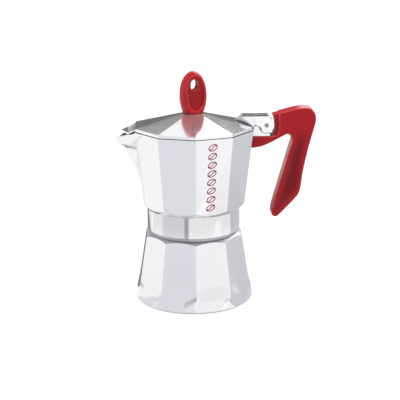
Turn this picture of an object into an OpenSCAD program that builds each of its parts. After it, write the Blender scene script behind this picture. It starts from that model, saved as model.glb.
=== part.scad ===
// Stovetop moka pot in faceted cast aluminium, with a red handle and knob.
// Millimetres. +Z is up the pot's axis and the origin is the middle of its foot.
// The handle points to +X and the spout to -X. The pot is shut and screwed tight.

/* [Boiler] */
// Diameter of the round foot
foot_d = 88; // [80:1:108]
// Height of the facets at their corners, from foot to shoulder
boiler_h = 49.7; // [42:0.1:60]
// Height over which the facets run out into the round foot
foot_band_h = 9; // [6:1:12]
// How far the corners stand out beyond the collar at the shoulder
shoulder_step = 2.6; // [2:0.1:3.2]
// Height of the sloping shoulder and the groove under the collar, above the facets' corners
shoulder_h = 4.4; // [4:0.1:5.3]
// Thickness of the boiler's wall
boiler_wall = 2.6; // [2:0.1:3.2]
// Thickness of the boiler's floor
floor_t = 3; // [2.4:0.1:4]

/* [Neck and thread] */
// Outer diameter of the neck, at the root of its thread
neck_d = 59; // [49:0.5:71]
// Thickness of the neck's wall
neck_wall = 2.5; // [2:0.1:3.2]
// Height of the neck above the shoulder
neck_h = 12; // [11:0.5:15]
// Pitch of the screw thread
thread_pitch = 3; // [2.4:0.1:3.6]
// Height of the thread's ridge
thread_depth = 0.9; // [0.6:0.1:1.1]

/* [Safety valve] */
// Height of the valve above the foot
valve_z = 33; // [27:1:37]
// Compass angle of the facet that holds the valve
valve_angle = 108; // [72:36:108]
// Diameter of the valve's threaded shank
valve_shank_d = 8; // [7.2:0.1:9.6]
// Width of the valve's hexagon across its flats
valve_hex_w = 12; // [11.5:0.5:14]
// Diameter of the valve's plunger stem
plunger_d = 2.3; // [1.9:0.1:2.7]

/* [Funnel and filter] */
// Depth of the coffee basket below the neck's top
basket_h = 22; // [18:1:26]
// Outer diameter of the funnel's tube
tube_d = 9; // [7.5:0.5:11]
// Thickness of the funnel's sheet
funnel_t = 0.8; // [0.6:0.1:1]
// Thickness of the sieve and of the filter plate
plate_t = 0.8; // [0.6:0.1:1]
// Diameter of the holes in the sieve and the filter plate
hole_d = 1.5; // [1.2:0.1:1.8]
// Thickness of the gasket
gasket_t = 3.2; // [2.6:0.1:3.9]
// Width of the gasket's band
gasket_w = 7.5; // [6.3:0.1:9]

/* [Collector] */
// Thickness of the collar's wall outside the thread
skirt_wall = 3.8; // [3.1:0.1:4.6]
// Visible height of the collar
collar_h = 16; // [15:0.5:19]
// How far the body's lower corners stand out beyond the collar
chamfer = 4.2; // [3.5:0.1:5]
// How far the rim's corners stand out beyond the lower corners
flare = 6.5; // [5:0.5:8]
// Height of the body from its lower corners to the rim
body_h = 55; // [46:1:66]
// Thickness of the body's wall
body_wall = 2.6; // [2.1:0.1:3.2]
// Thickness of the collector's floor
body_floor_t = 3; // [2.4:0.1:3.6]
// Height of the riser column above the floor
riser_h = 38; // [32:1:45]
// Diameter of the riser's bore
riser_bore_d = 6; // [5:0.5:7]
// Reach of the spout's lip from the pot's axis
spout_reach = 56.6; // [54:0.2:60]
// Height of the spout, from its foot to the rim
spout_h = 38; // [32:1:44]

/* [Lid] */
// Rise of the lid from its edge to the knob's seat
lid_rise = 8.8; // [7.5:0.1:10.5]
// Height of the turned-down edge
lid_edge_h = 2.1; // [1.8:0.1:2.6]
// Thickness of the lid
lid_t = 1.5; // [1.2:0.1:1.8]
// Diameter of the hinge pin
pin_d = 3; // [2.5:0.1:3.6]
// Distance of the hinge pin outside the rim's flat
pin_out = 10.4; // [9.8:0.2:12]
// Outer width of the lid's hinge ears
ears_w = 13.2; // [12.4:0.2:16]
// Thickness of each hinge ear
ear_t = 1.2; // [1:0.1:1.4]

/* [Handle and knob] */
// Thickness of the handle
handle_t = 13; // [12.6:0.2:15.6]
// Length of the grip, from the hinge pin down to its tip
grip_l = 69.5; // [58:0.5:83]
// Height of the knob
knob_h = 30.6; // [26:0.2:36]
// Greatest width of the knob
knob_w = 20; // [18:0.5:24]
// Thickness of the knob from face to face
knob_t = 13; // [11.6:0.2:15.6]
// Turn of the knob's face towards the handle
knob_turn = 22; // [0:1:45]
// Diameter of the screws that hold the knob and the handle
screw_d = 4; // [3.5:0.1:4.8]

/* [Hidden] */

// Finishes
cast_metal = [0.78, 0.78, 0.81];
sheet_metal = [0.86, 0.86, 0.88];
red_plastic = [0.76, 0.13, 0.15];
brass = [0.80, 0.64, 0.32];
steel = [0.62, 0.63, 0.65];
rubber = [0.93, 0.92, 0.88];

// Fine circles, and the clearances that every fit takes
$fn = 96;
eps = 0.01;
run_gap = 0.05;   // round a pin in its hole
slip_gap = 0.3;   // between pieces that move past each other
turn_gap = 0.4;   // round the ears that turn past the hinge lug's foot
screw_gap = 0.1;  // round a screw in its thread or hole

// Ten facets, with a corner towards -Y and a flat towards +X and -X
sides = 10;
half_side = 180 / sides;
flat = cos(half_side);
function corner(k) = -90 + 2 * half_side * k;
function lerp(a, b, u) = a + (b - a) * u;

// Boiler: radii to the corners, and heights
collar_r = neck_d / 2 + thread_depth + slip_gap + skirt_wall;
foot_r = foot_d / 2;
shoulder_r = collar_r + shoulder_step;
shoulder_slope = 0.7;
shoulder_z = boiler_h + shoulder_h;
groove_r = collar_r - 0.9;
neck_r = neck_d / 2;
neck_in = neck_r - neck_wall;
neck_top = shoulder_z + neck_h;
foot_bevel = 0.8;
foot_taper = 0.3;
facet_slope = (foot_r - foot_taper - shoulder_r) / (boiler_h - foot_band_h);
function boiler_corner(z) = foot_r - foot_taper - facet_slope * (z - foot_band_h);
function boiler_inside(z) = boiler_corner(z) * flat - boiler_wall;

// Safety valve, along its own axis from the boss's face: + is outwards
valve_boss_r = valve_hex_w / 2 + 1.4;
valve_boss = valve_boss_r * facet_slope + 0.3;
valve_face = boiler_corner(valve_z) * flat + valve_boss;
valve_washer_t = 1.2;
valve_hex_t = 4;
valve_nose_l = 2.8;
valve_in = 7.5;
valve_nose_t = 2;
seat_t = 1;
seat_gap = 0.35;
chamber_r = valve_shank_d / 2 - 1.1;
plunger_r = plunger_d / 2;
plunger_head_t = 1.2;
plunger_out = 1.8;
spring_wire = 0.55;
nose_end = valve_washer_t + valve_hex_t + valve_nose_l;
chamber_end = nose_end - valve_nose_t;
head_z = -valve_in + seat_t;

// Funnel, gasket and filter plate, from the boiler's floor up
basket_r = neck_in - 0.5;
basket_z = neck_top - basket_h;
basket_ledge = 1.6;
cone_h = 7;
tube_r = tube_d / 2;
tube_z = floor_t + 4;
flange_t = 1;
flange_r = neck_r - 0.3;
sieve_r = basket_r - funnel_t - screw_gap;
gasket_z = neck_top + flange_t;
seat_z = gasket_z + gasket_t;
recess_r = neck_r + 0.7;
gasket_r = recess_r - slip_gap;
plate_lap = 3.2;
plate_r = gasket_r - gasket_w + plate_lap;
hole_rings = 4;
sieve_share = 0.8;   // of the sieve's radius, to its last ring of holes
filter_share = 0.72; // of the filter plate's radius

// Collector
skirt_r = neck_r + thread_depth + slip_gap;
collar_z = shoulder_z + 0.4;
chamfer_z = shoulder_z + collar_h;
low_r = collar_r + chamfer;
low_z = chamfer_z + chamfer;
rim_r = low_r + flare;
rim_z = low_z + body_h;
under_h = 2.4;
under_r = plate_r - 1.4;
body_floor_z = max(seat_z + under_h + body_floor_t, chamfer_z + body_floor_t);
function body_corner(z) = lerp(low_r, rim_r, (z - low_z) / body_h);
riser_top = body_floor_z + riser_h;
riser_foot_r = riser_bore_d / 2 + 3.4;
riser_top_r = riser_bore_d / 2 + 1.9;
riser_cap_t = 2.4;
riser_slot_w = 3.2;
riser_slot_h = 5.5;

// Spout: where its creases leave the body and where its keel and lip lie
spout_foot_z = rim_z - spout_h;
spout_share = 0.38;
crease_x = lerp(cos(corner(2)), cos(corner(1)), spout_share) * rim_r;
crease_y = lerp(-sin(corner(2)), -sin(corner(1)), spout_share) * rim_r;
crease_in = 1.2;
keel_top_x = rim_r * flat + 6.5;
lip_z = rim_z - 12.6;
lip_bend = 3;
lip_curl_h = 5;
keel_bend_z = lip_z - lip_bend;
lip_front_z = rim_z - 7.6;
spout_wall = 2;
keel_round = 2.2;

// Lid and hinge
lid_gap = 0.35;
lid_inset = 0.8;
lid_r = rim_r - lid_inset;
lid_z = rim_z + lid_gap;
lid_edge_z = lid_z + lid_edge_h;
lid_top = lid_edge_z + lid_rise;
knob_seat_r = 7.7;
function lid_surface(x) =
    lerp(lid_edge_z, lid_top, (lid_r * flat - x) / ((lid_r - knob_seat_r) * flat));
pin_x = rim_r * flat + pin_out;
pin_up = 2.3;
pin_z = rim_z + pin_up;
pin_r = pin_d / 2;
flap_t = 1.2;
flap_root_x = lid_r * flat - 2.2;
flap_bend_x = lid_r * flat + 5.3;
flap_tip_x = lid_r * flat + 10.3;
flap_root_y = 11.5;
flap_bend_y = 11;
flap_z = lid_z - 1;
ear_r = 5.6;
tab_top = 6.7;
tab_t = 1.2;
tab_end = 2.4;
tab_back = 9.6;
tab_rise_l = 7.5;
tab_tip_x = lid_r * flat - 11.5;
tab_foot_y = 11;
slot_in = 1.6;
ear_y = ears_w / 2;
cheek_y = ear_y - ear_t - slip_gap;
web_y = 4.2;
lug_drop = 7.8;
lug_root = -pin_out - 2.5;
lug_step_z = -pin_up - eps;
lug_end = 2.4;
lug_back = 9.1;
lug_r = 5;

// Handle, measured from the hinge pin
handle_y = handle_t / 2;
tongue_gap = 0.15;
wall_gap = 0.15;
pocket = [[-6, 20], [9.2, 20], [9.2, 4], [9.6, 0], [9.4, -4], [7.6, -lug_drop - tongue_gap],
    [-6, -lug_drop - tongue_gap]];
screw_r = screw_d / 2;
screw_head_r = screw_r + 1.6;
screw_head_t = 2.4;
handle_screw_x = -4.4;
handle_screw_up = 4.4;
handle_washer_t = 0.8;
clamp_t = 3.6;
grip_k = grip_l / 69.5;

// Knob, measured from its seat on the lid
knob_base_r = 7.4;
knob_wide_z = 0.41 * knob_h;
knob_hole_z = 0.68 * knob_h;
knob_hole_r = 3.3;
knob_hole_l = 1.8;
knob_dish_r = 14;
knob_dish = 3.2;
insert_r = screw_r + 1;
insert_l = 8;
knob_washer_t = 0.8;
knob_washer_r = screw_r + 3;

// A solid with the pot's facets, through rings of [corner radius, height]
module faceted(rings) {
    n = len(rings);
    points = [for (ring = rings, k = [0:sides - 1])
        [ring[0] * cos(corner(k)), ring[0] * sin(corner(k)), ring[1]]];
    bottom = [for (k = [0:sides - 1]) k];
    top = [for (k = [sides - 1:-1:0]) (n - 1) * sides + k];
    walls = [for (i = [0:n - 2], k = [0:sides - 1])
        [i * sides + k, (i + 1) * sides + k, (i + 1) * sides + (k + 1) % sides, i * sides + (k + 1) % sides]];
    polyhedron(points, concat([bottom], walls, [top]), convexity = 4);
}

// A closed tube or ridge swept through rings of points, each ring with the same count
module swept(rings) {
    n = len(rings);
    m = len(rings[0]);
    points = [for (ring = rings, p = ring) p];
    start = [for (j = [0:m - 1]) j];
    end = [for (j = [m - 1:-1:0]) (n - 1) * m + j];
    sides_a = [for (i = [0:n - 2], j = [0:m - 1])
        [i * m + j, (i + 1) * m + j, (i + 1) * m + (j + 1) % m]];
    sides_b = [for (i = [0:n - 2], j = [0:m - 1])
        [i * m + j, (i + 1) * m + (j + 1) % m, i * m + (j + 1) % m]];
    polyhedron(points, concat([start], sides_a, sides_b, [end]), convexity = 8);
}

// A ring between two radii
module ring(r_out, r_in, h) {
    difference() {
        cylinder(r = r_out, h = h);
        translate([0, 0, -1])
            cylinder(r = r_in, h = h + 2);
    }
}

// Rings of small holes round a middle one, each ring with six more holes
module sieve_holes(r_last, h) {
    step = r_last / hole_rings;
    cylinder(d = hole_d, h = h);
    for (i = [1:hole_rings], k = [1:6 * i])
        rotate([0, 0, 360 * k / (6 * i)])
            translate([step * i, 0, 0])
                cylinder(d = hole_d, h = h, $fn = 16);
}

// The screw thread's ridge round the neck, sunk into it and fading out at both ends
module thread_ridge() {
    per_turn = 24;
    steps = floor((neck_h - 4.2) / thread_pitch * per_turn);
    root = neck_r - 0.4;
    sunk = neck_r - 0.25;
    foot = thread_pitch * 0.36;
    crest = thread_pitch * 0.14;
    z0 = shoulder_z + 1.2 + foot;
    rings = [for (i = [0:steps])
        let (a = 360 * i / per_turn,
             z = z0 + thread_pitch * i / per_turn,
             fade = min(1, min(i, steps - i) / 4),
             tip = lerp(sunk, neck_r + thread_depth, fade))
        [for (p = [[root, -foot], [root, foot], [tip, crest], [tip, -crest]])
            [p[0] * cos(a), p[0] * sin(a), z + p[1]]]];
    swept(rings);
}

module valve_place() {
    rotate([0, 0, valve_angle])
        translate([valve_face, 0, valve_z])
            rotate([0, 90, 0])
                children();
}

// Facets that stand on a round foot: the lowest ring of the facets is hidden inside it
module boiler_outside(top_z) {
    band_r = foot_r - foot_taper;
    hull() {
        cylinder(r1 = foot_r - foot_bevel, r2 = foot_r, h = foot_bevel, $fn = 6 * sides);
        faceted([[band_r, foot_band_h - foot_bevel], [band_r, foot_band_h]]);
    }
    faceted([[foot_r - 4 * foot_bevel, foot_bevel], [band_r, foot_band_h], [boiler_corner(top_z), top_z]]);
}

module boiler() {
    top_z = shoulder_z + eps;
    out_r = foot_r + 1;
    cone_low_z = boiler_h - (out_r - shoulder_r) * shoulder_slope;
    cone_high_z = boiler_h + (shoulder_r - groove_r) * shoulder_slope;
    color(cast_metal)
    difference() {
        union() {
            intersection() {
                boiler_outside(top_z);
                rotate_extrude()
                    polygon([[0, 0], [out_r, 0], [out_r, cone_low_z], [groove_r, cone_high_z],
                        [groove_r, shoulder_z], [0, shoulder_z]]);
            }
            cylinder(r = neck_r, h = neck_top);
            thread_ridge();
            valve_place()
                translate([0, 0, -valve_boss - boiler_wall])
                    cylinder(r = valve_boss_r, h = valve_boss + boiler_wall);
        }
        boiler_room();
        valve_place()
            translate([0, 0, -20])
                cylinder(d = valve_shank_d, h = 30);
    }
}

// The water's room: round inside, drawn in to the neck
module boiler_room() {
    low_z = floor_t + 4;
    high_z = boiler_h - 5;
    rotate_extrude()
        polygon([[0, floor_t], [boiler_inside(low_z) - 4, floor_t], [boiler_inside(low_z), low_z],
            [boiler_inside(high_z), high_z], [neck_in, shoulder_z - 1.5],
            [neck_in, neck_top + 1], [0, neck_top + 1]]);
}

module valve_body() {
    color(brass)
    valve_place()
        difference() {
            union() {
                translate([0, 0, -valve_in])
                    cylinder(r = valve_shank_d / 2 - run_gap, h = valve_in + valve_washer_t + 1);
                translate([0, 0, valve_washer_t])
                    cylinder(r = valve_hex_w / 2 / cos(30), h = valve_hex_t, $fn = 6);
                translate([0, 0, valve_washer_t + valve_hex_t - eps])
                    rotate_extrude()
                        polygon([[0, 0], [valve_shank_d / 2 + 0.6, 0],
                            [valve_shank_d / 2 + 0.6, valve_nose_l - 1],
                            [valve_shank_d / 2 - 0.4, valve_nose_l], [0, valve_nose_l]]);
            }
            translate([0, 0, -valve_in - 1])
                cylinder(r = chamber_r, h = chamber_end + valve_in + 1);
            cylinder(r = plunger_r + 0.2, h = nose_end + 1);
        }
}

module valve_washer() {
    color(rubber)
    valve_place()
        ring(valve_hex_w / 2 + 0.4, valve_shank_d / 2 + run_gap, valve_washer_t);
}

// Ring fixed in the valve's inner end, on which the plunger's head seals
module valve_seat() {
    color(steel)
    valve_place()
        translate([0, 0, -valve_in])
            ring(chamber_r, plunger_r + seat_gap, seat_t);
}

module valve_spring() {
    per_turn = 12;
    turns = 6;
    wire_sides = 6;
    lead = 0.04;
    coil_r = (plunger_r + chamber_r) / 2;
    z0 = head_z + plunger_head_t + spring_wire / 2 + lead;
    z1 = chamber_end - spring_wire / 2 - lead;
    steps = turns * per_turn;
    rings = [for (i = [0:steps])
        let (a = 360 * i / per_turn, z = lerp(z0, z1, i / steps))
        [for (j = [0:wire_sides - 1])
            let (b = 360 * j / wire_sides, r = coil_r + spring_wire / 2 * cos(b))
            [r * cos(a), r * sin(a), z - spring_wire / 2 * sin(b)]]];
    color(steel)
    valve_place()
        swept(rings);
}

module valve_plunger() {
    color(steel)
    valve_place()
        rotate_extrude()
            polygon([[0, head_z - 0.6], [plunger_r - 0.3, head_z - 0.6], [plunger_r, head_z],
                [chamber_r - slip_gap, head_z], [chamber_r - slip_gap, head_z + plunger_head_t],
                [plunger_r, head_z + plunger_head_t], [plunger_r, nose_end + plunger_out - 0.4],
                [plunger_r - 0.4, nose_end + plunger_out], [0, nose_end + plunger_out]]);
}

// Basket for the ground coffee and the tube that lifts the water into it
module funnel() {
    inner = basket_r - funnel_t;
    ledge = inner - basket_ledge;
    tube_in = tube_r - funnel_t;
    color(sheet_metal)
    rotate_extrude()
        polygon([[tube_in, tube_z], [tube_r, tube_z], [tube_r, basket_z - cone_h],
            [basket_r, basket_z - funnel_t], [basket_r, neck_top], [flange_r, neck_top],
            [flange_r, gasket_z], [inner, gasket_z], [inner, basket_z], [ledge, basket_z],
            [tube_in, basket_z - cone_h + funnel_t]]);
}

module funnel_sieve() {
    color(steel)
    translate([0, 0, basket_z])
        difference() {
            cylinder(r = sieve_r, h = plate_t);
            translate([0, 0, -1])
                sieve_holes(sieve_r * sieve_share, plate_t + 2);
        }
}

// Seal on the funnel's flange, stepped to hold the filter plate's edge
module gasket() {
    step_z = gasket_t - plate_t;
    step_r = plate_r + slip_gap;
    color(rubber)
    translate([0, 0, gasket_z])
        rotate_extrude()
            polygon([[gasket_r - gasket_w, 0], [gasket_r, 0], [gasket_r, gasket_t],
                [step_r, gasket_t], [step_r, step_z], [gasket_r - gasket_w, step_z]]);
}

module filter_plate() {
    color(steel)
    translate([0, 0, seat_z - plate_t])
        difference() {
            cylinder(r = plate_r, h = plate_t);
            translate([0, 0, -1])
                sieve_holes(plate_r * filter_share, plate_t + 2);
        }
}

// Plan of the spout at one height: creases on the body, a rounded keel between.
// inset moves the walls inwards, for the channel.
function keel_x(z) =
    z < keel_bend_z
        ? lerp(body_corner(spout_foot_z) * flat + 0.6, keel_top_x,
            (z - spout_foot_z) / (keel_bend_z - spout_foot_z))
        : lerp(keel_top_x, spout_reach, pow(min(1, (z - keel_bend_z) / lip_curl_h), 3));
function spout_plan(z, inset) =
    let (u = max(0, (z - spout_foot_z) / spout_h),
         tip = keel_x(z) - inset * 1.6,
         side_x = lerp(body_corner(spout_foot_z) * flat - crease_in, crease_x, u) - inset,
         side_y = max(0.3, crease_y * u - inset * 1.3),
         nose_y = min(keel_round, side_y * 0.5),
         nose_x = tip - nose_y * 0.55)
    [[-side_x + 8, side_y], [-side_x, side_y], [-nose_x, nose_y], [-tip, 0.25 * nose_y],
     [-tip, -0.25 * nose_y], [-nose_x, -nose_y], [-side_x, -side_y], [-side_x + 8, -side_y]];

module spout_solid(inset, z_low, z_high) {
    levels = concat([z_low, lerp(z_low, keel_bend_z, 0.5), keel_bend_z],
        [for (i = [1:5]) keel_bend_z + lip_curl_h * i / 5], [z_high]);
    swept([for (z = levels) [for (p = spout_plan(z, inset)) [p[0], p[1], z]]]);
}

// Everything above the pouring edge, which falls from the rim to the lip
module above_spout() {
    edge_x = rim_r * flat - 1;
    rotate([90, 0, 0])
        translate([0, 0, -rim_r])
            linear_extrude(2 * rim_r)
                polygon([[-edge_x, rim_z + 20], [-edge_x, rim_z], [-spout_reach - 2, lip_front_z],
                    [-spout_reach - 2, rim_z + 20]]);
}

// Outline of an ear in side view, from the hinge pin: plate, eye and the curved lower edge
module ear_outline(grow) {
    offset(delta = grow)
        polygon(concat([[-tab_back, tab_top], [-tab_back, 0.2], [-7.8, 0.3], [-4.6, -1], [-3.6, -2.2]],
            [for (a = [230:10:360]) [ear_r * cos(a), ear_r * sin(a)]],
            [for (a = [10:10:60]) [ear_r * cos(a), ear_r * sin(a)]],
            [[tab_end, tab_top - 0.8], [tab_end - 0.6, tab_top]]));
}

module at_pin(y) {
    translate([pin_x, y, pin_z])
        rotate([90, 0, 0])
            children();
}

// Cast lug on the rim: a cheek between the lid's ears, and a full-width foot below them
module hinge_lug() {
    at_pin(cheek_y)
        linear_extrude(2 * cheek_y)
            union() {
                circle(r = lug_r);
                polygon([[lug_root, -lug_drop], [lug_end, -lug_drop], [lug_end, 0], [-2, lug_r - 0.5],
                    [-lug_back, 0.9], [-lug_back, lug_step_z], [lug_root, lug_step_z]]);
            }
    at_pin(ear_y)
        linear_extrude(2 * ear_y)
            difference() {
                polygon([[lug_root, -lug_drop], [lug_end, -lug_drop], [lug_end, -0.5], [-lug_back, -0.5],
                    [-lug_back, lug_step_z], [lug_root, lug_step_z]]);
                union() {
                    ear_outline(turn_gap);
                    circle(r = ear_r + turn_gap);
                }
            }
}

module collector() {
    inner_low = body_corner(body_floor_z) - body_wall / flat;
    inner_high = rim_r - body_wall / flat;
    color(cast_metal)
    difference() {
        union() {
            translate([0, 0, collar_z])
                cylinder(r = collar_r, h = chamfer_z + 1 - collar_z);
            intersection() {
                faceted([[body_corner(chamfer_z), chamfer_z], [rim_r, rim_z]]);
                rotate_extrude()
                    polygon([[0, chamfer_z], [collar_r, chamfer_z], [collar_r + 20, chamfer_z + 20],
                        [collar_r + 20, rim_z + 1], [0, rim_z + 1]]);
            }
            difference() {
                spout_solid(0, spout_foot_z, rim_z);
                above_spout();
            }
            hinge_lug();
        }
        difference() {
            union() {
                faceted([[inner_low, body_floor_z], [inner_high, rim_z + eps],
                    [inner_high + flare / body_h * 3, rim_z + 3]]);
                spout_solid(spout_wall, spout_foot_z + 8, rim_z + 3);
            }
            riser();
        }
        collector_underside();
        at_pin(20)
            cylinder(r = pin_r, h = 40);
        translate([pin_x + handle_screw_x, 0, pin_z - lug_drop - 1])
            cylinder(r = screw_r + run_gap, h = handle_screw_up + 1.2);
    }
}

// Column that the coffee rises through, shut at the top, with a slot on each side
module riser() {
    difference() {
        translate([0, 0, body_floor_z - 1])
            rotate_extrude()
                polygon([[0, 0], [riser_foot_r, 0], [riser_foot_r, 2], [riser_top_r, riser_h - 2],
                    [riser_top_r - 1.5, riser_h + 1], [0, riser_h + 1]]);
        translate([-riser_slot_w / 2, -20, riser_top - riser_cap_t - riser_slot_h])
            cube([riser_slot_w, 40, riser_slot_h]);
    }
}

// Room for the neck, the gasket and the filter plate, and the bore up into the riser
module collector_underside() {
    rotate_extrude()
        polygon([[0, collar_z - 1], [skirt_r, collar_z - 1], [skirt_r, gasket_z - 1], [recess_r, gasket_z],
            [recess_r, seat_z], [under_r, seat_z], [under_r - 3, seat_z + under_h - 0.6],
            [riser_bore_d / 2, seat_z + under_h], [riser_bore_d / 2, riser_top - riser_cap_t],
            [0, riser_top - riser_cap_t]]);
}

module hinge_pin() {
    over = 0.35;
    color(steel)
    at_pin(ear_y + over)
        cylinder(r = pin_r, h = 2 * (ear_y + over));
}

// The least slab under a set of points, t thick
module slab(points, t) {
    side = 0.1;
    hull()
        for (p = points)
            translate([p[0] - side / 2, p[1] - side / 2, p[2] - t])
                cube([side, side, t]);
}

// Raised wedge that grows from the lid's flat into the hinge tab
module lid_wedge() {
    back_x = pin_x - tab_back - 0.05;
    top_z = pin_z + tab_top;
    slab([[tab_tip_x, 0, lid_surface(tab_tip_x) + 0.4],
        [back_x, tab_foot_y, lid_edge_z], [back_x, -tab_foot_y, lid_edge_z],
        [back_x - tab_rise_l, ear_y, top_z], [back_x - tab_rise_l, -ear_y, top_z],
        [back_x, ear_y, top_z], [back_x, -ear_y, top_z]], 1);
}

// Flap over the spout: it droops from the lid's flat and ends in a level nose
module lid_flap() {
    bend = [[-flap_bend_x, flap_bend_y, flap_z], [-flap_bend_x, -flap_bend_y, flap_z]];
    root_z = lid_surface(flap_root_x);
    slab(concat(bend, [[-flap_root_x, flap_root_y, root_z], [-flap_root_x, -flap_root_y, root_z]]), flap_t);
    slab(concat(bend, [[-flap_tip_x, 0, flap_z]]), flap_t);
}

module lid() {
    inside_r = lid_r - lid_t / flat;
    color(sheet_metal)
    difference() {
        union() {
            faceted([[lid_r, lid_z], [lid_r - 0.1, lid_edge_z], [knob_seat_r, lid_top]]);
            lid_wedge();
            lid_flap();
            at_pin(ear_y)
                linear_extrude(2 * ear_y)
                    ear_outline(0);
        }
        faceted([[inside_r, lid_z - 1], [inside_r, lid_edge_z - lid_t * 0.9], [knob_seat_r, lid_top - lid_t]]);
        at_pin(ear_y - ear_t)
            linear_extrude(2 * (ear_y - ear_t))
                polygon([[-tab_back - eps, -10], [-tab_back - eps, tab_top - tab_t],
                    [tab_end + 10, tab_top - tab_t], [tab_end + 10, -10]]);
        translate([pin_x - tab_back - slot_in, -web_y - slip_gap, pin_z])
            cube([30, 2 * (web_y + slip_gap), 20]);
        at_pin(20)
            cylinder(r = pin_r + run_gap, h = 40);
        cylinder(r = screw_r + screw_gap, h = lid_top + 1);
    }
}

module at_seat() {
    translate([0, 0, lid_top])
        rotate([0, 0, knob_turn])
            children();
}

// Egg-shaped knob with two flat faces, a dish in each and an oval hole through
module knob() {
    wide = knob_w / 2;
    above = [for (a = [0:10:90])
        [wide * cos(a), knob_wide_z + (knob_h - knob_wide_z) * sin(a)]];
    below = [for (u = [1:-0.125:0.01])
        [wide - (wide - knob_base_r) * u * u, knob_wide_z * (1 - u)]];
    color(red_plastic)
    at_seat()
        difference() {
            intersection() {
                rotate_extrude()
                    polygon(concat([[0, 0]], below, above));
                translate([-wide, -knob_t / 2, 0])
                    cube([2 * wide, knob_t, knob_h]);
            }
            for (s = [-1, 1])
                translate([0, s * (knob_t / 2 + knob_dish_r - knob_dish), knob_hole_z])
                    sphere(r = knob_dish_r);
            translate([0, knob_t, knob_hole_z])
                rotate([90, 0, 0])
                    linear_extrude(2 * knob_t)
                        union() {
                            translate([0, knob_hole_l / 2])
                                circle(r = knob_hole_r);
                            translate([0, -knob_hole_l / 2])
                                circle(r = knob_hole_r);
                            square([2 * knob_hole_r, knob_hole_l], center = true);
                        }
            cylinder(r = insert_r, h = insert_l + 0.6);
        }
}

module knob_insert() {
    color(brass)
    at_seat()
        ring(insert_r, screw_r + run_gap, insert_l);
}

// Pan-head screw standing on its head, with a cross slot in the head
module screw(head_r, shank_l) {
    slot_w = 1;
    difference() {
        union() {
            rotate_extrude()
                polygon([[0, -screw_head_t], [head_r - 1, -screw_head_t], [head_r, -screw_head_t + 1],
                    [head_r, 0], [screw_r, 0], [screw_r, shank_l - 0.5], [screw_r - 0.5, shank_l],
                    [0, shank_l]]);
        }
        for (a = [0, 90])
            rotate([0, 0, a])
                translate([-head_r + 1, -slot_w / 2, -screw_head_t - 1])
                    cube([2 * head_r - 2, slot_w, 2]);
    }
}

module knob_screw() {
    color(steel)
    at_seat()
        translate([0, 0, -lid_t - knob_washer_t])
            screw(screw_head_r, lid_t + knob_washer_t + insert_l - 1.5);
}

module knob_washer() {
    color(steel)
    at_seat()
        translate([0, 0, -lid_t - knob_washer_t])
            ring(knob_washer_r, screw_r + screw_gap, knob_washer_t);
}

// Smooth curve through a list of points, with extra steps between them
function curve_point(a, b, c, d, t) =
    0.5 * ((2 * b) + (c - a) * t + (2 * a - 5 * b + 4 * c - d) * t * t + (3 * b - a - 3 * c + d) * t * t * t);
function curve(p, steps) =
    let (n = len(p))
    [for (i = [0:n - 2], j = [0:steps - 1])
        curve_point(p[max(0, i - 1)], p[i], p[i + 1], p[min(n - 1, i + 2)], j / steps)];

// Side view of the handle from the hinge pin: under the tongue, down the grip and back along the top
function handle_edge() =
    let (k = grip_k, wall = body_corner(pin_z - 12) * flat - pin_x + wall_gap)
    [[wall - 0.3, -16.9], [-4, -15.8], [3.4, -12.8], [10.8, -8.9], [15, -6.9], [18, -8.2], [18.9, -12],
     [17.2, -18 * k], [13.3, -32.3 * k], [7.3, -53 * k], [4.4, -65.3 * k], [5, -68.4 * k],
     [7.4, -69.5 * k], [10.5, -67.4 * k], [22.7, -54.5 * k], [25.6, -48 * k], [27.4, -35 * k], [30.7, -19 * k],
     [34, -6], [36.1, 2], [35.9, 7.2], [33.6, 10.9], [29.5, 12.5], [23, 12.1], [13, 9.7], [4.2, 7.4]];
function handle_end() =
    let (wall = body_corner(pin_z - 8) * flat - pin_x + wall_gap)
    [[4.2, 7.4], [5.6, 5], [6.4, 0], [5.6, -4], [4.6, -lug_drop - tongue_gap],
     [wall, -lug_drop - tongue_gap]];

module handle() {
    color(red_plastic)
    difference() {
        at_pin(handle_y)
            linear_extrude(handle_t)
                polygon(concat(curve(handle_edge(), 4), handle_end()));
        for (s = [-1, 1])
            at_pin(s > 0 ? handle_y + 1 : -web_y)
                linear_extrude(handle_y + 1 - web_y)
                    polygon(pocket);
        translate([pin_x + handle_screw_x, 0, pin_z - lug_drop - 30])
            cylinder(r = screw_r + screw_gap, h = 40);
        translate([pin_x + handle_screw_x, 0, pin_z - lug_drop - clamp_t - 30])
            cylinder(r = screw_head_r + 0.8, h = 30);
    }
}

module handle_screw() {
    color(steel)
    translate([pin_x + handle_screw_x, 0, pin_z - lug_drop - clamp_t - handle_washer_t])
        screw(screw_head_r, clamp_t + handle_washer_t + handle_screw_up - 0.8);
}

module handle_washer() {
    color(steel)
    translate([pin_x + handle_screw_x, 0, pin_z - lug_drop - clamp_t - handle_washer_t])
        ring(screw_head_r + 0.6, screw_r + screw_gap, handle_washer_t);
}

boiler();
valve_body();
valve_washer();
valve_seat();
valve_spring();
valve_plunger();
funnel();
funnel_sieve();
gasket();
filter_plate();
collector();
hinge_pin();
lid();
knob();
knob_insert();
knob_screw();
knob_washer();
handle();
handle_screw();
handle_washer();
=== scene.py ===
# %% [markdown]
# # A stovetop moka pot, dressed for its picture
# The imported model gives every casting, screw and washer its true size and place. This lesson gives
# each of them the surface that the real one has: polished castings, a machined collar, red plastic.
# The frame is loaded first, and its box is kept, because the looks must not change the pot's size.

# %% Load the fixed frame
import math

import bpy
import numpy as np
from mathutils import Matrix, Vector


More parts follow.
